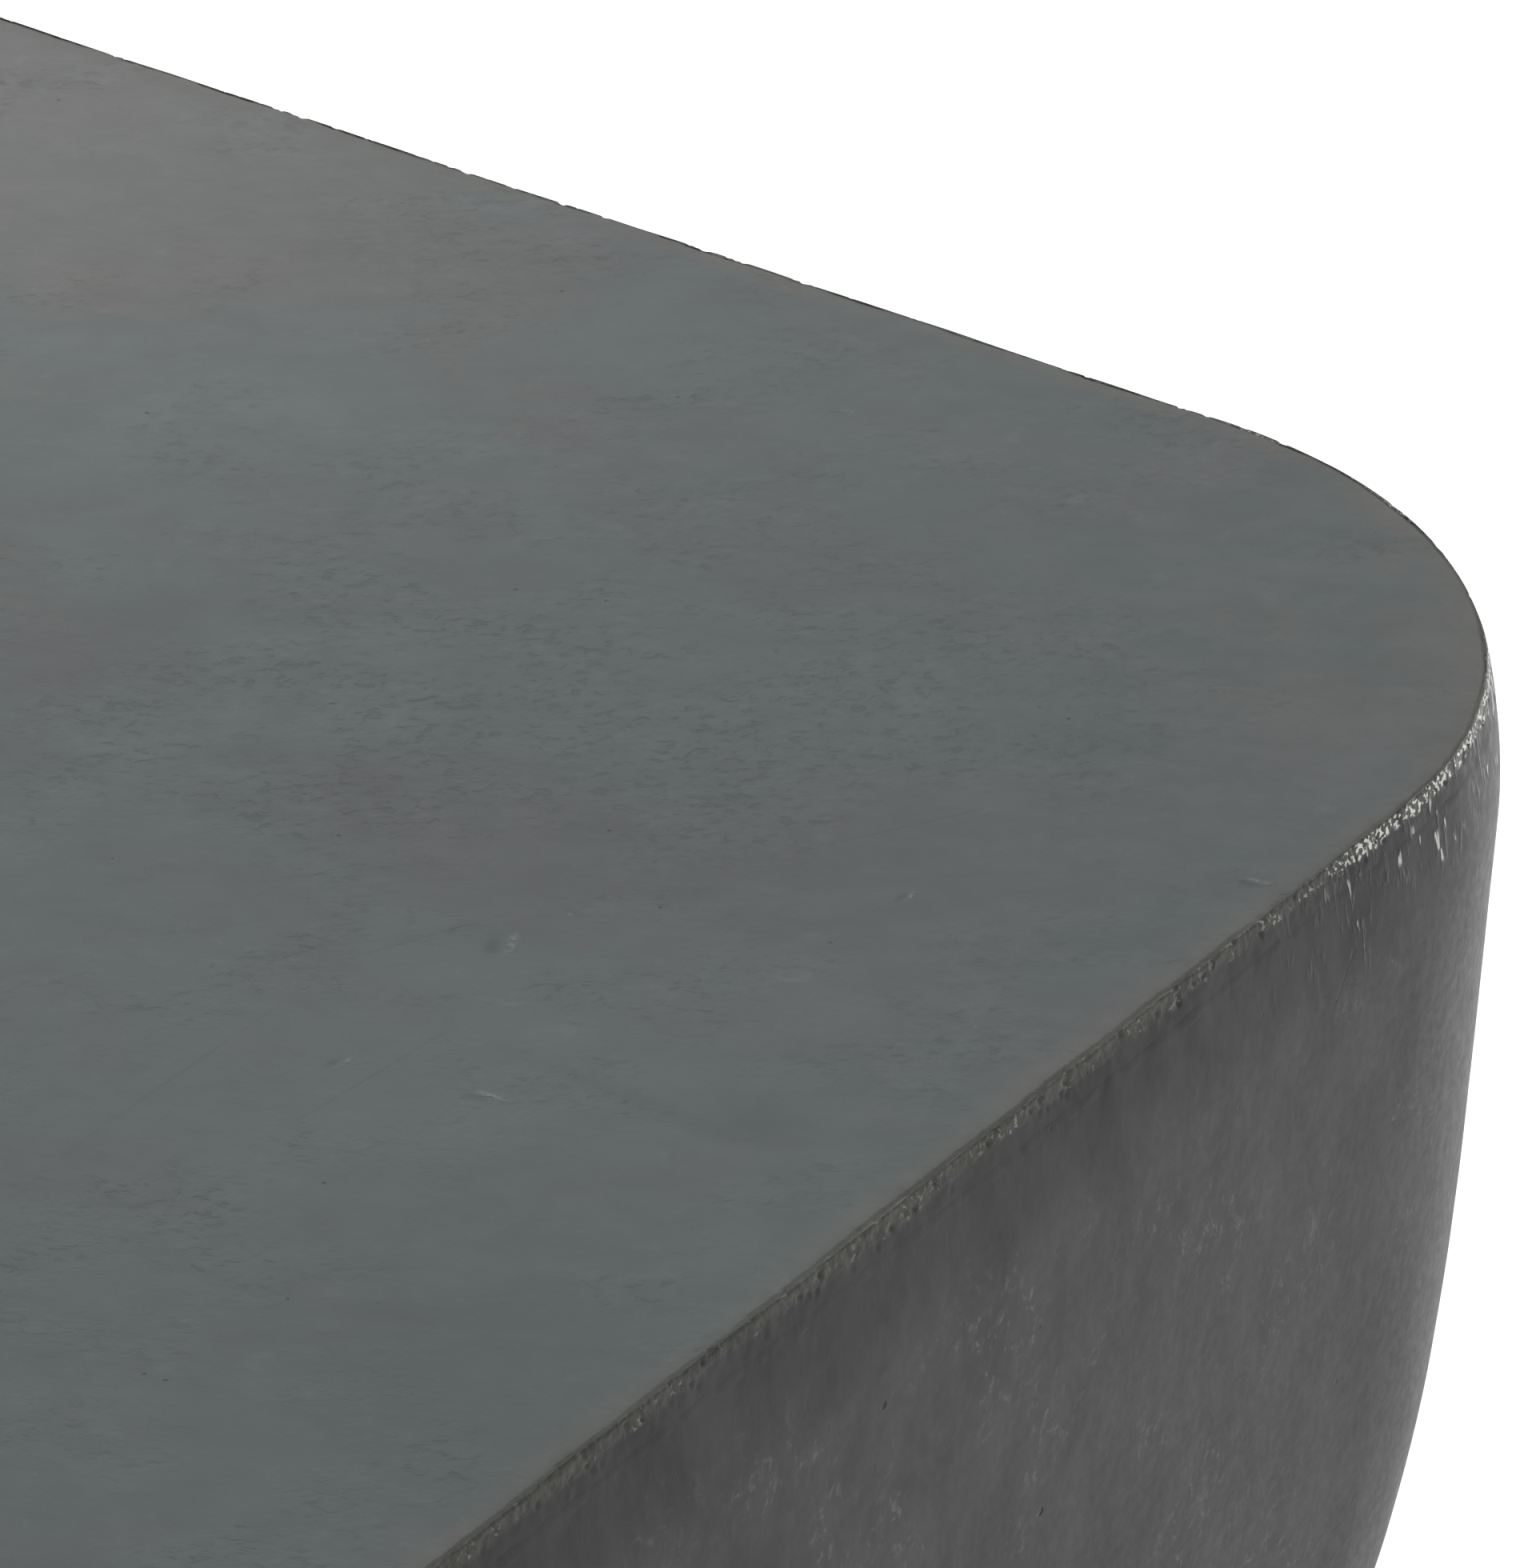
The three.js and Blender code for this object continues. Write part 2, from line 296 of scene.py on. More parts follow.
def slab_face():
    """Rings from the arris in to the middle of the top face, uneven as a trowel leaves it."""
    flat = [outline_ring(COLUMNS // 2, -inward * MM, TOP_Z) for inward in (8, 12)]
    flat += [outline_ring(COLUMNS // 4, -inward * MM, TOP_Z) for inward in (17, 24)]
    flat += [outline_ring(COLUMNS // 8, -inward * MM, TOP_Z) for inward in range(32, 97, 8)]
    last = flat[-1]
    for share in np.linspace(1, 0.02, 36)[1:]:
        thin = 1 if share > 0.5 else 2
        flat.append(last[::thin] * [share, share, 1])
    for ring in flat:
        hollow = 0.09 + 0.09 * noise_at(ring, 110 * MM, 21) + 0.05 * noise_at(ring, 38 * MM, 22)
        ring[:, 2] -= np.maximum(hollow, 0) * MM
    return flat


def cross_ring(narrow, z):
    """The outline of the two crossed ribs, drawn in by narrow."""
    half, length = RIB[0] - narrow, RIB[1] - narrow
    corners = []
    for quarter in range(4):
        c, s = math.cos(quarter * math.pi / 2), math.sin(quarter * math.pi / 2)
        for x, y in ((half, -half), (length, -half), (length, half)):
            corners.append((x * c - y * s, x * s + y * c, z))
    return np.array(corners)


def top_slab():
    """The slab: a plug inside the side casting, crossed ribs, the showing edge and the top face."""
    plug = -(WALL + 4 * MM)
    under, low = TOP_Z - SLAB_EDGE, TOP_Z - SLAB_DEPTH
    edge = side_offset(SLAB_EDGE)
    n = COLUMNS // 8
    below = [
        outline_ring(n, plug, low),
        outline_ring(n, plug, under),
        outline_ring(2 * n, plug + 2 * MM, under),
        outline_ring(4 * n, edge - 4 * MM, under),
        outline_ring(8 * n, edge - 1.2 * MM, under),
    ]
    skin = Skin()
    rings = below + slab_band() + slab_face()
    skin.through(rings)
    skin.add(rings[-1], [list(range(len(rings[-1])))])
    ribs = [cross_ring(narrow, z) for narrow, z in (
        (3 * MM, low - RIB[2]), (1 * MM, low - RIB[2] + 1 * MM), (0, low - RIB[2] + 3 * MM), (0, low)
    )]
    skin.through(ribs)
    skin.add(ribs[0], [list(range(len(ribs[0])))[::-1]])
    skin.underside(below[0], [ribs[-1]])
    return skin


def mortar_bed():
    """The joint: struck flush and smeared a little over both castings, so that it hardly shows."""
    # Depth below the top face, and how far it stands out from the side, in millimetres.
    lines = ((15.5, -0.6), (13.4, -0.1), (12.2, 0.05), (11, 0.05), (10, 0.05), (8.9, -0.1), (7, -0.6))
    rings = []
    for depth, proud in lines:
        plain = outline_ring(COLUMNS, 0, TOP_Z - depth * MM)
        smear = 0.14 * noise_at(plain, 8 * MM, 31) + 0.05 * noise_at(plain, 3 * MM, 32)
        rings.append(hand_skin(depth * MM, COLUMNS, proud + smear))
    inner = side_offset(SLAB_EDGE) - WALL + 1 * MM
    rings += [outline_ring(COLUMNS // 2, inner, TOP_Z - depth * MM) for depth in (10.3, 11.7)]
    return Skin().through(rings, closed=True)


def feet():
    """Each foot's name and place."""
    sides = {"front_left": (-1, -1), "front_right": (1, -1), "back_right": (1, 1), "back_left": (-1, 1)}
    return {name: (x * FOOT_AT, y * FOOT_AT) for name, (x, y) in sides.items()}


def board_screws():
    """The places of the board's screws: two along every side."""
    out, spread = BOARD_SCREW
    places = []
    for side in range(4):
        c, s = round(math.cos(side * math.pi / 2)), round(math.sin(side * math.pi / 2))
        places += [(out * c - along * s, out * s + along * c) for along in (-spread, spread)]
    return places


def side_shell():
    rim = SLAB_EDGE + JOINT
    bevel = TOP_Z - BASE_Z - BASE_BEVEL
    n = COLUMNS // 4

    # Round the base and up the outer face.
    rings = []
    for turn in np.linspace(0, math.pi / 2, 6)[:-1]:
        inward = BASE_BEVEL * 0.9 * (1 - math.sin(turn))
        z = BASE_Z + BASE_BEVEL * (1 - math.cos(turn))
        rings.append(outline_ring(n, side_offset(bevel) - inward, z))
    base = rings[0]
    rings += [hand_skin(depth, n) for depth in np.arange(bevel, rim + 20 * MM, -5 * MM)]
    for below in (18, 15, 12, 9.5, 7.5, 5.5, 4, 2.5, 1.2, 0.15):
        rings.append(hand_skin(rim + below * MM, 2 * n))
    rings.append(outline_ring(2 * n, side_offset(rim) - 1.2 * MM, TOP_Z - rim))

    # Down the inside to the flange, its opening and the board's rebate.
    rings.append(outline_ring(n, side_offset(rim) - 4 * MM, TOP_Z - rim))
    n //= 2
    for depth in np.linspace(rim, TOP_Z - FLANGE_TOP - WALL, 10):
        rings.append(outline_ring(n, side_offset(depth) - WALL, TOP_Z - depth))
    rebate_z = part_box("base_board")[1].z + 0.3 * MM
    rings += [
        outline_ring(n, side_offset(TOP_Z - FLANGE_TOP) - 2 * WALL, FLANGE_TOP),
        square_ring(n, *OPENING, FLANGE_TOP),
        square_ring(n, *OPENING, rebate_z),
        square_ring(n, *REBATE, rebate_z),
        square_ring(n, *REBATE, BASE_Z),
    ]
    skin = Skin().through(rings)

    # Each foot's pocket, and the stepped hole for its insert and stud. Radius and height.
    steps = [
        (POCKET[0], BASE_Z), (POCKET[0], POCKET[1] - 1.5 * MM), (POCKET[0] - 1.5 * MM, POCKET[1]),
        (8.3 * MM, POCKET[1]), (8.3 * MM, 33.3 * MM), (6 * MM, 33.3 * MM), (6 * MM, 38 * MM),
    ]
    mouths = []
    for at in feet().values():
        hole = [round_ring(64, radius, z, at)[::-1] for radius, z in steps]
        skin.through(hole)
        skin.add(hole[-1], [list(range(64))])
        mouths.append(hole[0])
    skin.underside(base, [rings[-1]] + mouths)
    return skin


# ---------------------------------------------------------------- board, fixings and feet


def turned(steps, count, at):
    """A closed skin turned round a vertical axis, through [radius, height] in millimetres."""
    rings = [round_ring(count, radius * MM, z * MM, at) for radius, z in steps]
    return Skin().through(rings, caps=True)


def base_board():
    low, high = (corner.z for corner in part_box("base_board"))
    half, radius = BOARD
    rings = []
    steps = ((1.2, low), (0.4, low + 0.4 * MM), (0, low + 1.2 * MM), (0, high - 1 * MM), (1, high))
    for inward, z in steps:
        rings.append(square_ring(448, half - inward * MM, radius - inward * MM, z))
    return Skin().through(rings, caps=True)


def screw(at):
    """A pan-head screw with a hexagon socket, seen from below."""
    socket = hexagon(72, 4 * MM)
    rings = [round_ring(72, socket, z * MM, at) for z in (4.4, 2.7)]
    rings.append(round_ring(72, socket + 0.25 * MM, 2.4 * MM, at))
    head = [(3.9, 2.42), (4.9, 2.7), (5.6, 3.3), (5.95, 4.1), (6, 4.9), (5.9, 5.7), (5.7, 5.8), (2.9, 5.8)]
    rings += [round_ring(72, radius * MM, z * MM, at) for radius, z in head]
    thread, pitch = 0.28, 1.0
    angle = np.arange(72) / 72
    for z in np.arange(6.0, 30.2, 0.25):
        wave = np.abs(((z / pitch - angle) % 1) * 2 - 1)
        rings.append(round_ring(72, (2.9 - thread * wave) * MM, z * MM, at))
    rings.append(round_ring(72, 2.2 * MM, 30.8 * MM, at))
    return Skin().through(rings, caps=True)


def washer(at):
    steps = [(3.3, 6.25), (3.45, 6.1), (7.75, 6.1), (8, 6.3), (8, 7.5), (7.85, 7.7), (3.3, 7.7)]
    rings = [round_ring(72, radius * MM, z * MM, at) for radius, z in steps]
    return Skin().through(rings, closed=True)


def knurled_insert(at, inner, outer, low, high, count=96):
    """A brass insert: a bore, and a knurled outside with a plain band at each end."""
    angle = np.arange(count) / count
    rings = [round_ring(count, (inner + 0.5) * MM, low * MM, at)]
    for z in np.arange(low, high + 0.01, 1.0):
        knurl = 0.22 * (np.abs(((angle * 24 + z / 6) % 1) * 2 - 1)) * (low + 1.5 < z < high - 1.5)
        edge = 0.3 if z in (low, high) else 0
        rings.append(round_ring(count, (outer - edge - knurl) * MM, z * MM, at))
    rings += [round_ring(count, inner * MM, z * MM, at) for z in (high, low + 0.5)]
    return Skin().through(rings, closed=True)


def foot_sole(at):
    """A rubber sole with ring grooves underneath, and a beaded rim."""
    steps = [(0.5, 0)]
    for groove in (4.5, 8.5, 12.5):
        steps += [(groove, 0), (groove + 0.3, 0.8), (groove + 1.2, 0.8), (groove + 1.5, 0)]
    steps += [(17.3, 0), (17.8, 0.4), (18, 1), (17.8, 1.5), (18, 2), (17.9, 2.7), (17.5, 3)]
    return turned(steps, 128, at)


def foot_pad(at):
    """A moulded nylon pad with small grip ribs round its rim."""
    count = 192
    angle = np.arange(count) / count
    steps = [
        (6.3, 3.3, 0), (17.8, 3.3, 0), (18.3, 3.5, 0), (18.8, 4.1, 0.3), (19, 4.6, 1), (19, 6.2, 1),
        (18.8, 6.9, 0.6), (18.4, 7.4, 0), (15.6, 8.7, 0), (15, 8.9, 0), (14.2, 9, 0), (9.5, 9, 0),
        (9.2, 8.8, 0), (8.8, 9, 0), (3.3, 9, 0), (3.3, 6, 0), (6.3, 6, 0),
    ]
    rings = []
    for radius, z, ribbed in steps:
        rib = 0.45 * ribbed * (np.sin(angle * 2 * math.pi * 36) < 0)
        rings.append(round_ring(count, (radius - rib) * MM, z * MM, at))
    return Skin().through(rings, closed=True)


def foot_stud(at):
    """A steel stud: riveted end, neck, hexagon with chamfered corners, and a rolled thread."""
    count, pitch = 60, 1.5
    steps = [(5.2, 3.6), (5.9, 3.9), (6, 4.5), (6, 5.4), (3, 5.4), (3, 9.3)]
    rings = [round_ring(count, radius * MM, z * MM, at) for radius, z in steps]
    flats = hexagon(count, 17 * MM)
    for z, limit in ((9.3, 8.4), (9.8, 9.2), (10.2, 99), (13.4, 99), (13.8, 9.2), (14.3, 8.4)):
        rings.append(round_ring(count, np.minimum(flats, limit * MM), z * MM, at))
    angle = np.arange(count) / count
    rings.append(round_ring(count, 4.1 * MM, 14.3 * MM, at))
    for z in np.arange(14.8, 35.2, 0.25):
        wave = np.abs(((z / pitch - angle) % 1) * 2 - 1)
        fade = min((z - 14.8) / 1.5, (35.2 - z) / 1.2, 1)
        rings.append(round_ring(count, (5 - 0.85 * smooth(0.1, 0.9, wave) * fade) * MM, z * MM, at))
    rings += [round_ring(count, radius * MM, z * MM, at) for radius, z in ((4.6, 35.5), (4, 36))]
    return Skin().through(rings, caps=True)


# ---------------------------------------------------------------- materials


class Shader:
    """A node material in the making. Its methods take sockets or plain numbers, and return sockets."""

    def __init__(self, name):
        self.material = bpy.data.materials.new(name)
        self.material.use_nodes = True
        self.tree = self.material.node_tree
        self.surface = self.tree.nodes["Principled BSDF"]
        self.place = self.node("ShaderNodeTexCoord").outputs["Object"]

    def node(self, kind, inputs=None, **settings):
        made = self.tree.nodes.new(kind)
        for key, value in settings.items():
            setattr(made, key, value)
        for key, value in (inputs or {}).items():
            self.give(made.inputs[key], value)
        return made

    def give(self, socket, value):
        if isinstance(value, bpy.types.NodeSocket):
            self.tree.links.new(value, socket)
        else:
            socket.default_value = value

    def math(self, operation, *values):
        return self.node("ShaderNodeMath", dict(enumerate(values)), operation=operation).outputs[0]

    def plus(self, *values):
        return reduce(lambda a, b: self.math("ADD", a, b), values)

    def times(self, *values):
        return reduce(lambda a, b: self.math("MULTIPLY", a, b), values)

    def vector(self, operation, *values):
        return self.node("ShaderNodeVectorMath", dict(enumerate(values)), operation=operation)

    def ramp(self, value, low, high, bottom=0.0, top=1.0):
        """Goes smoothly from bottom to top as the value goes from low to high."""
        settings = {"Value": value, "From Min": low, "From Max": high, "To Min": bottom, "To Max": top}
        return self.node("ShaderNodeMapRange", settings, interpolation_type="SMOOTHSTEP").outputs[0]

    def mix(self, factor, first, second):
        """One colour to another. A colour is a socket, or three numbers."""
        ends = [c if isinstance(c, bpy.types.NodeSocket) else (*c, 1) for c in (first, second)]
        return self.node("ShaderNodeMix", {0: factor, 6: ends[0], 7: ends[1]}, data_type="RGBA").outputs[2]

    def blend(self, factor, first, second):
        """One number to another."""
        return self.plus(first, self.times(factor, self.math("SUBTRACT", second, first)))

    def shade(self, colour, factor):
        """A colour made darker or lighter."""
        return self.node("ShaderNodeVectorMath", {0: colour, 3: factor}, operation="SCALE").outputs[0]

    def axes(self, size, turn=0, stretch=(1, 1, 1), at=(0, 0, 0)):
        """Coordinates round a place, turned about Z in degrees, in units of size by the stretch."""
        frame = {"Vector": self.place, "Location": at, "Rotation": (0, 0, math.radians(turn)),
                 "Scale": [size * s for s in stretch]}
        return self.node("ShaderNodeMapping", frame, vector_type="TEXTURE").outputs[0]

    def noise(self, size, seed, turn=0, stretch=(1, 1, 1), detail=3, roughness=0.5, warp=0.0):
        """Fractal noise about 0.5, with features of that size in millimetres."""
        place = self.axes(size * MM, turn, stretch, (seed * 0.37, seed * 0.61, seed * 0.83))
        look = {"Vector": place, "Scale": 1, "Detail": detail, "Roughness": roughness, "Distortion": warp}
        return self.node("ShaderNodeTexNoise", look).outputs[0]

    def dots(self, size, share, radius, seed, stretch=(1, 1, 1)):
        """Sparse dots, from 0 outside to 1 in the middle, in a share of cells of that size in mm."""
        place = self.axes(size * MM, 0, stretch, (seed * 0.41, seed * 0.23, seed * 0.77))
        cells = self.node("ShaderNodeTexVoronoi", {"Vector": place, "Scale": 1})
        chosen = self.math("LESS_THAN", cells.outputs["Color"], share)
        return self.times(self.ramp(cells.outputs["Distance"], radius, radius * 0.3), chosen)

    def fade(self, place, soft=1.0):
        """1 in the middle of some coordinates, and 0 from one unit away. It starts to fall at 1 - soft."""
        ball = self.node("ShaderNodeTexGradient", {0: place}, gradient_type="SPHERICAL")
        return self.ramp(ball.outputs["Fac"], 0, soft)

    def spot(self, at, radii, turn=0, soft=1.0):
        """An oval patch on the top face, from 1 in the middle to 0 at its edge. Metres and degrees."""
        return self.fade(self.axes(1, turn, (*radii, 1), (*at, TOP_Z)), soft)

    def marks(self, places):
        """Several oval patches at once. Made one by one, so that Cycles' shader stack stays short."""
        return reduce(lambda a, b: self.math("MAXIMUM", a, b), (self.spot(*place) for place in places))

    def inset(self):
        """How far in from the top outline a place is, in millimetres, near the edge."""
        away = self.vector("ABSOLUTE", self.place).outputs[0]
        away = self.vector("SUBTRACT", away, (SPINE, SPINE, TOP_HALF)).outputs[0]
        away = self.vector("MAXIMUM", away, (0, 0, 0)).outputs[0]
        away = self.vector("LENGTH", self.vector("MULTIPLY", away, (1, 1, 0)).outputs[0]).outputs["Value"]
        return self.math("MULTIPLY_ADD", away, -1 / MM, CORNER_R / MM)

    def corner(self):
        """1 round the table's four corners, and 0 along its straight sides."""
        away = self.vector("ABSOLUTE", self.place).outputs[0]
        x, y, _ = self.node("ShaderNodeSeparateXYZ", {0: away}).outputs
        return self.ramp(self.math("MINIMUM", x, y), 160 * MM, 235 * MM)

    def depth(self):
        """How far below the top face a place is, in millimetres."""
        height = self.node("ShaderNodeSeparateXYZ", {0: self.place}).outputs["Z"]
        return self.math("MULTIPLY_ADD", height, -1 / MM, TOP_Z / MM)

    def crack(self, at, slope, half):
        """A hair crack down the right side, through a place, leaning by slope, and half long each way."""
        away = self.vector("SUBTRACT", self.place, at).outputs[0]
        _, y, z = self.node("ShaderNodeSeparateXYZ", {0: away}).outputs
        wobble = self.times(self.plus(self.noise(9, 131, detail=4, roughness=0.6), -0.5), 5 * MM)
        across = self.math("ABSOLUTE", self.plus(y, self.times(z, -slope), wobble))
        x = self.node("ShaderNodeSeparateXYZ", {0: self.place}).outputs["X"]
        reach = self.times(self.ramp(self.math("ABSOLUTE", z), half, half * 0.5), self.ramp(x, 0.3, 0.35))
        return self.times(self.ramp(across, 0.6 * MM, 0.15 * MM), reach)

    def cloud(self, at, radius):
        """A soft round cloud anywhere on the table, from 1 in the middle to 0 at its radius."""
        return self.fade(self.axes(radius, at=at))

    def finish(self, colour, roughness, height, **fixed):
        """Sets the surface. height is in millimetres, and fixed values go straight on its sockets."""
        bump = self.node("ShaderNodeBump", {"Height": height, "Strength": 1.0, "Distance": MM})
        self.give(self.surface.inputs["Base Color"], colour)
        self.give(self.surface.inputs["Roughness"], roughness)
        self.give(self.surface.inputs["Normal"], bump.outputs[0])
        for key, value in fixed.items():
            self.surface.inputs[key.replace("_", " ")].default_value = value
        return self.material


# Colours, as linear red, green and blue. The first four are the clouds of the trowelled top; the warm and
# pale ones are partly the top's own tone and partly painted light from the far left.
COOL = (0.048, 0.060, 0.0603)
NEUTRAL = (0.0562, 0.0612, 0.0630)
WARM_AND_PAINTED_LIGHT = (0.073, 0.070, 0.066)
PALE_AND_PAINTED_LIGHT = (0.10, 0.101, 0.097)
SIDE = ((0.034, 0.034, 0.035), (0.044, 0.044, 0.0435))  # darkest and lightest of the plain side
# The band under the arris, from its dark grit to its light grit, and the tint beside it on the top.
BAND = (0.056, 0.058, 0.048)
EDGE_DARK = (0.036, 0.037, 0.032)
EDGE_TINT = (0.070, 0.069, 0.061)
# Lime bloom, chalky chips, chips turned near white round the corners as painted sparkle, painted shade for
# pits, the crack and the groove on the arris, and the glints under the corners.
BLOOM = (0.13, 0.13, 0.125)
CHALK = (0.20, 0.195, 0.17)
CORNER_SPARKLE = (0.80, 0.80, 0.74)
PAINTED_SHADE = (0.012, 0.013, 0.012)
GLINT = (0.55, 0.55, 0.51)
# Where lime has bloomed thickest on the right side: the place, and how wide.
# These were measured from points picked in the photo, then rounded.
BLOOMS = (((0.40, -0.04, 0.35), 0.02), ((0.40, 0.12, 0.34), 0.02), ((0.40, 0.19, 0.20), 0.04))
GLOSS = 0.18  # specular level of all three castings
TROWEL = 30  # the way most trowel strokes run, in degrees from +X
# The boldest nicks in the top face: place, half length in metres, direction in degrees.
# Their places were measured from points picked in the photo, then rounded, mostly to a centimetre.
NICKS = (
    ((0.25, -0.02), 0.005, 85), ((0.29, -0.01), 0.007, 10), ((0.32, 0.13), 0.004, 100),
    ((0.25, 0.05), 0.008, 115), ((0.39, 0.19), 0.005, 10), ((0.15, 0.34), 0.004, 35),
)


def side_finish(s, depth):
    """The side's colour, roughness and height in millimetres, which all three castings share."""
    clouds = s.noise(95, 51, 0, (1, 1, 1.5), detail=5, roughness=0.6, warp=0.5)
    runs = s.noise(22, 53, 0, (1, 1, 2.0), detail=3, roughness=0.55, warp=0.4)
    grain = s.noise(3, 55, 0, (1, 1, 1.2), detail=4, roughness=0.65)
    tone = s.plus(
        s.ramp(runs, 0.3, 0.7, 0.80, 1.16),
        s.ramp(grain, 0.3, 0.7, -0.06, 0.06),
        s.ramp(s.plus(depth, s.times(runs, 60)), 35, 150, -0.14, 0.05),
        s.ramp(depth, 130, 390, 0.0, -0.25),
    )
    colour = s.shade(s.mix(s.ramp(clouds, 0.38, 0.64), *SIDE), tone)

    # Pale lime bloom in ragged patches, made of squiggles and freckles.
    patch = s.ramp(s.noise(40, 57, 0, (1, 1, 1.2), detail=4, roughness=0.6), 0.48, 0.6)
    patch = s.times(patch, s.ramp(depth, 14, 55))
    for at, radius in BLOOMS:
        patch = s.math("MAXIMUM", patch, s.cloud(at, radius))
    squiggle = s.math("ABSOLUTE", s.plus(s.noise(7, 58, 0, (1, 1, 1.6), detail=3, warp=1.0), -0.5))
    squiggle = s.ramp(squiggle, 0.05, 0.0)
    freckles = s.ramp(s.noise(5, 59, 0, (1, 1, 1.4), detail=4, roughness=0.7, warp=0.6), 0.50, 0.64)
    bloom = s.times(patch, s.plus(s.times(freckles, 0.35), s.times(squiggle, freckles, 0.9), 0.06))
    colour = s.mix(s.times(bloom, 0.75), colour, BLOOM)

    # Torn ridges that run down from the edge, mostly round the corners.
    clump = s.ramp(s.noise(12, 61, detail=2), 0.44, 0.56)
    reach = s.ramp(s.plus(depth, s.times(s.plus(s.noise(14, 62), -0.5), 50)), 36, 16)
    ridges = s.ramp(s.noise(2.2, 63, 0, (1, 1, 4), detail=1), 0.5, 0.66)
    ridges = s.times(ridges, clump, reach, s.blend(s.corner(), 0.08, 1))
    glints = s.times(s.ramp(ridges, 0.55, 1), s.ramp(s.noise(6, 64, 0, (1, 1, 2), detail=1), 0.5, 0.6))
    colour = s.mix(s.times(glints, 0.8), colour, GLINT)

    holes = s.dots(19, 0.26, 0.09, 65)
    tiny = s.dots(6, 0.25, 0.09, 67)
    crack = s.crack((0.405, 0.21, 0.365), 0.8, 9 * MM)
    # Painted shade in the holes, the tiny pits and the crack.
    dark = s.plus(s.times(holes, 0.6), s.times(tiny, 0.35), s.times(crack, 0.6))
    colour = s.mix(dark, colour, PAINTED_SHADE)
    roughness = s.plus(
        s.ramp(clouds, 0.3, 0.7, 0.42, 0.52), s.ramp(grain, 0.3, 0.7, -0.05, 0.06),
        s.times(bloom, 0.2), s.times(ridges, -0.15),
    )
    height = s.plus(
        s.times(runs, 0.3), s.times(grain, 0.05), s.times(s.noise(8, 69, detail=2), 0.14),
        s.times(ridges, 0.2), s.times(holes, -0.5), s.times(tiny, -0.15), s.times(crack, -0.06),
        s.times(bloom, 0.03),
    )
    return colour, roughness, height


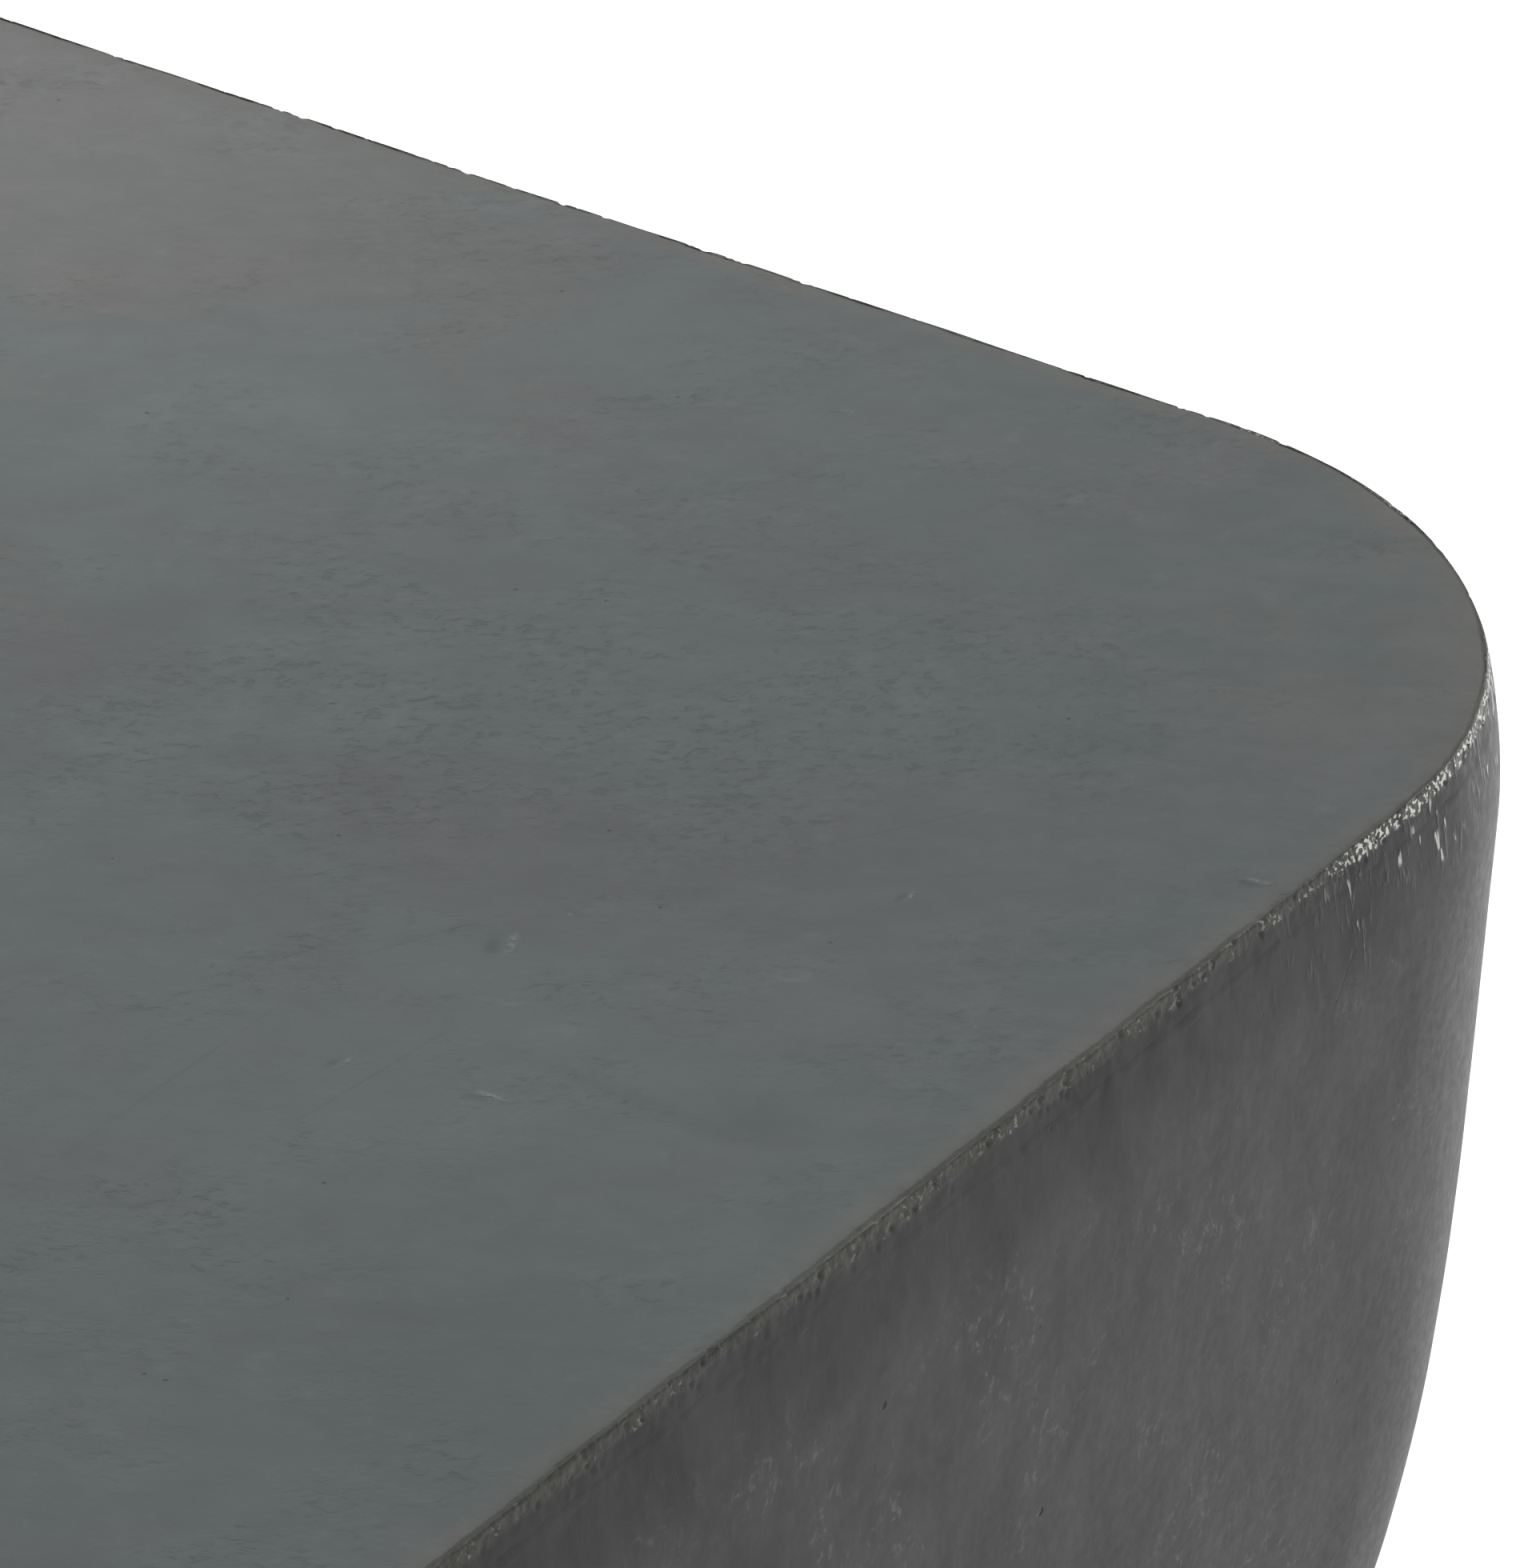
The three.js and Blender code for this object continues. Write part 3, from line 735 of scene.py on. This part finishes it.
def trowelled_concrete():
    s = Shader("trowelled_concrete")
    inset, depth = s.inset(), s.depth()
    side_colour, side_roughness, side_height = side_finish(s, depth)

    # Broad clouds, from cool blue-green grey to neutral and warm. The warm and pale patches at the far
    # left are partly the top's own tone and partly painted light falling from that side.
    clouds = s.noise(150, 3, TROWEL, (1.3, 1, 1), detail=6, roughness=0.6, warp=0.5)
    patches = s.noise(50, 5, TROWEL, (1.2, 1, 1), detail=6, roughness=0.62, warp=0.6)
    smears = s.noise(15, 8, TROWEL, (1.6, 1, 1), detail=5, roughness=0.68, warp=0.4)
    hue = s.plus(clouds, s.times(s.plus(patches, -0.5), 0.6))
    warm_tone_and_painted_light = s.plus(
        s.spot((-0.15, 0.20), (0.34, 0.26), 20),
        s.times(0.4, s.spot((-0.20, -0.25), (0.30, 0.30))),
        s.times(0.6, s.spot((0.34, 0.34), (0.16, 0.14), 36)),
    )
    colour = s.mix(s.ramp(hue, 0.42, 0.60), COOL, NEUTRAL)
    colour = s.mix(s.times(s.ramp(hue, 0.35, 0.62), warm_tone_and_painted_light, 0.7), colour, WARM_AND_PAINTED_LIGHT)
    # Partly painted light: a paler patch at the far left, where light falls from that side.
    colour = s.mix(s.times(0.6, s.spot((-0.24, 0.34), (0.36, 0.26), 20)), colour, PALE_AND_PAINTED_LIGHT)
    tone = s.plus(
        s.ramp(patches, 0.3, 0.7, 0.92, 1.08),
        s.ramp(smears, 0.3, 0.7, -0.06, 0.06),
        s.ramp(s.noise(1.6, 11, detail=2), 0.3, 0.7, -0.02, 0.02),
        s.ramp(s.noise(11, 12, TROWEL, detail=4, roughness=0.6), 0.6, 0.74, 0.0, 0.12),
    )

    # Fine ripples the trowel dragged up, in patches, with painted shade in their troughs and painted light
    # on their crests.
    where = s.noise(38, 14, TROWEL, (1.5, 1, 1), detail=5, roughness=0.65)
    where = s.plus(where, s.times(0.14, s.spot((0.19, 0.17), (0.21, 0.11), 36)))
    where = s.ramp(where, 0.46, 0.66, 0.1, 1)
    ripple = s.noise(3.2, 17, TROWEL + 6, (1.5, 1, 1), detail=2, roughness=0.6, warp=0.4)
    hollows = s.times(s.ramp(ripple, 0.46, 0.32), where)
    ripple_height = s.plus(s.times(ripple, where, 1.2), s.times(hollows, -0.5))
    # Painted shade in the ripple troughs, and painted light on the crests.
    tone = s.plus(tone, s.times(hollows, -0.17), s.times(s.ramp(ripple, 0.54, 0.68), where, 0.10))

    # Marks left by hand: a dark smear, pale hazes, faint scratches and a ring, and nicks with a painted
    # highlight on each burr and painted shadow beside it.
    scratches = s.marks((
        ((0.22, -0.05), (0.065, 0.0012), 90), ((0.23, 0.04), (0.04, 0.001), 65),
        ((0.26, -0.02), (0.05, 0.001), 85), ((0.30, 0.16), (0.05, 0.001), 60),
        ((0.16, 0.33), (0.006, 0.001), 35), ((-0.05, 0.02), (0.09, 0.001), 140),
    ))
    smear = s.plus(s.spot((0.31, 0.01), (0.055, 0.007)), s.spot((0.35, 0.02), (0.025, 0.02), 20))
    haze = s.marks((((0.24, 0.03), (0.035, 0.015), 35), ((0.33, 0.07), (0.03, 0.02), 35)))
    worn = s.marks((((0.16, 0.14), (0.30, 0.19), 40), ((0.36, -0.10), (0.12, 0.10), 0)))
    broken = s.ramp(s.noise(1.8, 19, detail=2), 0.34, 0.56, 0.15, 1)
    # Each nick is a raised burr with a painted highlight, and a dent beside it with painted shadow.
    nicks = s.times(s.marks((at, (half, half * 0.3), turn) for at, half, turn in NICKS), broken)
    hollow = s.marks(
        ((x - half * 0.4, y - half * 0.5), (half, half * 0.4), turn) for (x, y), half, turn in NICKS
    )
    ring = s.times(s.spot((0.31, 0.32), (0.0035, 0.0035)),
                   s.math("SUBTRACT", 1, s.spot((0.31, 0.32), (0.0022, 0.0022))))
    specks = s.plus(s.dots(17, 0.16, 0.06, 21), s.times(0.5, s.dots(42, 0.35, 0.07, 22)))
    pinholes = s.dots(11, 0.2, 0.07, 23)
    # Painted shadow in the dent beside each nick, and painted shade in the pinholes.
    tone = s.plus(
        tone, s.times(worn, -0.13), s.times(smear, -0.13), s.times(scratches, -0.08),
        s.times(pinholes, -0.3), s.times(hollow, -0.22), s.times(haze, 0.07),
    )
    # Painted highlights on the nick burrs.
    tone = s.plus(tone, s.times(specks, 0.35), s.times(ring, 0.15), s.times(nicks, 0.75))

    # The edge: painted shade in a fine groove on the arris, then a browner band with ragged pale specks,
    # which fades into the finish of the side. Round the corners the specks turn near white, as painted
    # sparkle.
    ragged = s.plus(
        s.times(s.plus(s.noise(5, 31, detail=4, roughness=0.6), -0.5), 3.2),
        s.times(s.plus(s.noise(28, 32, detail=1), -0.5), 4.0),
    )
    line_at = s.plus(inset, s.times(ragged, 0.45))
    band = s.ramp(line_at, 0.9, 0.3)
    arris_groove_and_shade = s.times(s.ramp(line_at, -0.3, 0.5), s.ramp(line_at, 1.9, 0.9))
    halo = s.ramp(s.plus(inset, s.times(ragged, 2.5)), 12, 1)
    grit = s.noise(2.4, 34, detail=3, roughness=0.65)
    low = s.ramp(s.plus(depth, s.times(ragged, 1.3)), 1.5, 6.0)
    edge = s.mix(s.ramp(grit, 0.35, 0.65), EDGE_DARK, BAND)
    corner_chips_and_sparkle = s.corner()
    clump = s.ramp(s.plus(s.noise(11, 35, detail=2), s.times(corner_chips_and_sparkle, 0.3)), 0.5, 0.64)
    chips_and_sparkle = s.ramp(s.plus(s.noise(1.5, 36, detail=2), s.times(corner_chips_and_sparkle, 0.05)), 0.56, 0.64)
    chips_and_sparkle = s.times(chips_and_sparkle, clump, s.ramp(low, 0.98, 0.7), s.ramp(depth, 0.4, 1.2))
    edge = s.mix(low, edge, side_colour)
    # Painted sparkle: near the corners the chips take a near-white colour, and elsewhere their own chalky
    # colour.
    edge = s.mix(s.times(chips_and_sparkle, 0.75), edge, s.mix(corner_chips_and_sparkle, CHALK, CORNER_SPARKLE))
    colour = s.mix(s.times(halo, 0.6), colour, EDGE_TINT)
    colour = s.mix(band, s.shade(colour, tone), edge)
    # Painted shade along the groove on the arris, stronger in some stretches than others.
    struck = s.ramp(s.noise(60, 37, detail=1), 0.4, 0.6, 0.3, 0.6)
    colour = s.mix(s.times(arris_groove_and_shade, struck), colour, PAINTED_SHADE)

    face_roughness = s.plus(s.ramp(clouds, 0.3, 0.7, 0.50, 0.60), s.ramp(patches, 0.3, 0.7, -0.05, 0.05))
    edge_roughness = s.plus(side_roughness, s.ramp(low, 0, 1, -0.12, 0))
    roughness = s.blend(band, face_roughness, edge_roughness)
    face_height = s.plus(
        s.times(s.noise(42, 41, TROWEL, (1.4, 1, 1), detail=2), 0.22),
        s.times(smears, 0.12),
        s.times(ripple_height, 0.18),
        s.times(s.noise(1.1, 43, detail=2), 0.015),
        s.times(scratches, -0.05),
        s.times(nicks, 0.3),
        s.times(hollow, -0.12),
        s.times(ring, 0.15),
        s.times(pinholes, -0.2),
        s.times(arris_groove_and_shade, -0.2),
    )
    rubble = s.plus(s.times(grit, 0.3), s.times(chips_and_sparkle, 0.15))
    edge_height = s.plus(side_height, s.times(rubble, s.ramp(low, 1, 0.5)))
    height = s.blend(band, face_height, edge_height)
    return s.finish(colour, roughness, height, Specular_IOR_Level=GLOSS)


def cast_concrete():
    s = Shader("cast_concrete")
    return s.finish(*side_finish(s, s.depth()), Specular_IOR_Level=GLOSS)


def mortar():
    s = Shader("mortar")
    colour, roughness, height = side_finish(s, s.depth())
    grit = s.noise(1.8, 71, detail=4, roughness=0.7)
    colour = s.shade(colour, s.ramp(grit, 0.3, 0.7, 0.92, 1.06))
    return s.finish(colour, s.plus(roughness, s.times(grit, 0.05)), s.plus(height, s.times(grit, 0.05)),
                    Specular_IOR_Level=GLOSS)


def plywood():
    s = Shader("plywood")
    height = s.node("ShaderNodeSeparateXYZ", {0: s.place}).outputs["Z"]
    figure = s.noise(26, 81, 0, (9, 1, 1), detail=4, roughness=0.6, warp=0.8)
    grain = s.noise(1.1, 83, 0, (24, 1, 6), detail=3, roughness=0.6)
    rings = s.math("SINE", s.times(figure, 40))
    colour = s.mix(s.ramp(rings, -1, 1), (0.032, 0.022, 0.016), (0.060, 0.043, 0.030))
    colour = s.shade(colour, s.ramp(grain, 0.3, 0.7, 0.75, 1.2))
    # Plies show on the board's edge as thin level bands.
    plies = s.math("SINE", s.times(height, 2 * math.pi / (2.4 * MM)))
    colour = s.shade(colour, s.ramp(plies, -0.4, 0.4, 0.85, 1.1))
    roughness = s.ramp(grain, 0.3, 0.7, 0.6, 0.78)
    return s.finish(colour, roughness, s.plus(s.times(grain, 0.12), s.times(rings, 0.02)))


def plated_steel():
    s = Shader("zinc_steel")
    cloud = s.noise(7, 91, detail=4, roughness=0.6)
    brush = s.noise(0.4, 93, 0, (1, 1, 9), detail=3)
    wear = s.ramp(s.noise(2.5, 95, detail=4, roughness=0.7), 0.6, 0.72)
    colour = s.mix(s.ramp(cloud, 0.3, 0.7), (0.46, 0.48, 0.50), (0.60, 0.60, 0.57))
    colour = s.mix(s.times(wear, 0.5), colour, (0.25, 0.23, 0.20))
    roughness = s.plus(s.ramp(cloud, 0.3, 0.7, 0.24, 0.38), s.times(brush, 0.12), s.times(wear, 0.2))
    return s.finish(colour, roughness, s.plus(s.times(brush, 0.012), s.times(wear, -0.02)), Metallic=1.0)


def brass():
    s = Shader("brass")
    cloud = s.noise(6, 101, detail=4, roughness=0.6)
    fine = s.noise(0.5, 103, 0, (1, 1, 5), detail=2)
    colour = s.mix(s.ramp(cloud, 0.3, 0.7), (0.42, 0.27, 0.09), (0.62, 0.44, 0.17))
    roughness = s.plus(s.ramp(cloud, 0.3, 0.7, 0.26, 0.42), s.times(fine, 0.1))
    return s.finish(colour, roughness, s.times(fine, 0.015), Metallic=1.0)


def nylon():
    s = Shader("nylon")
    skin = s.noise(0.7, 111, detail=3)
    cloud = s.noise(12, 113, detail=3)
    scuff = s.ramp(s.noise(1.2, 115, 40, (5, 1, 1), detail=3, roughness=0.7), 0.62, 0.74)
    colour = s.mix(s.ramp(cloud, 0.3, 0.7), (0.010, 0.010, 0.011), (0.016, 0.016, 0.017))
    colour = s.mix(s.times(scuff, 0.5), colour, (0.05, 0.05, 0.05))
    roughness = s.plus(s.ramp(cloud, 0.3, 0.7, 0.42, 0.5), s.times(skin, 0.1), s.times(scuff, 0.15))
    return s.finish(colour, roughness, s.plus(s.times(skin, 0.03), s.times(scuff, -0.02)))


def rubber():
    s = Shader("rubber")
    skin = s.noise(0.6, 121, detail=3, roughness=0.6)
    dust = s.ramp(s.noise(4, 123, detail=5, roughness=0.7), 0.5, 0.7)
    colour = s.mix(s.times(dust, 0.6), (0.017, 0.017, 0.017), (0.055, 0.052, 0.047))
    roughness = s.plus(s.ramp(skin, 0.3, 0.7, 0.7, 0.84), s.times(dust, 0.08))
    return s.finish(colour, roughness, s.times(skin, 0.05))


# ---------------------------------------------------------------- the table

top, side, joint = trowelled_concrete(), cast_concrete(), mortar()
wood, steel, gold, plastic, grip = plywood(), plated_steel(), brass(), nylon(), rubber()

piece("trowelled_top", top_slab(), 75, top, "table", "top_slab")
piece("struck_joint", mortar_bed(), 80, joint, "table", "mortar_bed")
piece("cast_side", side_shell(), 45, side, "table", "side_shell")
piece("closing_board", base_board(), 40, wood, "table", "base_board")

for number, at in enumerate(board_screws(), 1):
    parts = {
        "screw": (screw(at), steel, "zinc_steel"),
        "washer": (washer(at), steel, "zinc_steel"),
        "insert": (knurled_insert(at, 3.2, 4.8, 20.6, 32.6), gold, "brass"),
    }
    for kind, (skin, material, slot) in parts.items():
        piece(f"closing_{kind}_{number}", skin, 35, material, "table", f"board_{kind}_{number}")

for foot, at in feet().items():
    parts = {
        "sole": (foot_sole(at), grip, f"{foot}_pad", "rubber"),
        "pad": (foot_pad(at), plastic, f"{foot}_pad", "nylon"),
        "stud": (foot_stud(at), steel, f"{foot}_stud", "zinc_steel"),
        "insert": (knurled_insert(at, 5.3, 8, 15, 33), gold, "table", "brass"),
    }
    for kind, (skin, material, body, slot) in parts.items():
        piece(f"{foot}_levelling_{kind}", skin, 35, material, body, f"{foot}_foot_{kind}")


# ---------------------------------------------------------------- studio

LENS = 180
VIEWPOINT = (1.315, -1.308, 1.476)
LOOK = (35.97, 30.79)  # azimuth and elevation of the view, in degrees
SOFTBOXES = {
    # Place, what it points at, width and height in metres, and watts.
    "far_left": ((-0.75, 0.95, 1.05), (-0.3, 0.4, 0.4), (0.8, 0.6), 3.5),
    "far_right": ((1.0, 3.0, 1.7), (0.35, 0.35, 0.35), (0.9, 1.4), 38),
}
SUN = ((0.3, -0.35, -1), 2.0, 60)  # direction, strength, and how wide it is in degrees
SKY_LIGHT, SKY_SEEN = 0.6, 1.1
FLOOR_REACH, FLOOR_PAINT = 30, (0.92, 0.92, 0.92, 1)


def put(name, data):
    """A new object in the scene."""
    made = bpy.data.objects.new(name, data)
    bpy.context.scene.collection.objects.link(made)
    return made


def facing(direction):
    return Vector(direction).to_track_quat("-Z", "Y").to_euler()


def softbox(name, at, target, size, power):
    data = bpy.data.lights.new(name, "AREA")
    data.shape = "RECTANGLE"
    data.size, data.size_y = size
    data.energy = power
    box = put(name, data)
    box.location = at
    box.rotation_euler = facing(Vector(target) - Vector(at))
    box.visible_camera = False


def sky():
    """White to the eye, and dimmer where it lights the table."""
    world = bpy.data.worlds.new("studio")
    world.use_nodes = True
    tree = world.node_tree
    strength = tree.nodes.new("ShaderNodeMapRange")
    strength.inputs["To Min"].default_value = SKY_LIGHT
    strength.inputs["To Max"].default_value = SKY_SEEN
    seen = tree.nodes.new("ShaderNodeLightPath").outputs["Is Camera Ray"]
    tree.links.new(seen, strength.inputs["Value"])
    background = tree.nodes["Background"]
    background.inputs["Color"].default_value = (1, 1, 1, 1)
    tree.links.new(strength.outputs[0], background.inputs["Strength"])
    return world


camera_data = bpy.data.cameras.new("camera")
camera_data.lens = LENS
camera_data.sensor_width = 36
camera_data.clip_start = 0.1
camera = put("camera", camera_data)
camera.location = VIEWPOINT
camera.rotation_euler = (math.radians(90 - LOOK[1]), 0, math.radians(LOOK[0]))
bpy.context.scene.camera = camera

for name, settings in SOFTBOXES.items():
    softbox(name, *settings)

sun_data = bpy.data.lights.new("overhead", "SUN")
sun_data.energy = SUN[1]
sun_data.angle = math.radians(SUN[2])
put("overhead", sun_data).rotation_euler = facing(SUN[0])

bpy.context.scene.world = sky()
bpy.context.scene.view_settings.view_transform = "Standard"

floor_mesh = bpy.data.meshes.new("floor")
floor_corners = [(x * FLOOR_REACH, y * FLOOR_REACH, 0) for x, y in ((-1, -1), (1, -1), (1, 1), (-1, 1))]
floor_mesh.from_pydata(floor_corners, [], [(0, 1, 2, 3)])
paint = bpy.data.materials.new("floor_paint")
paint.use_nodes = True
paint.node_tree.nodes["Principled BSDF"].inputs["Base Color"].default_value = FLOOR_PAINT
paint.node_tree.nodes["Principled BSDF"].inputs["Roughness"].default_value = 0.9
floor_mesh.materials.append(paint)
put("floor", floor_mesh)
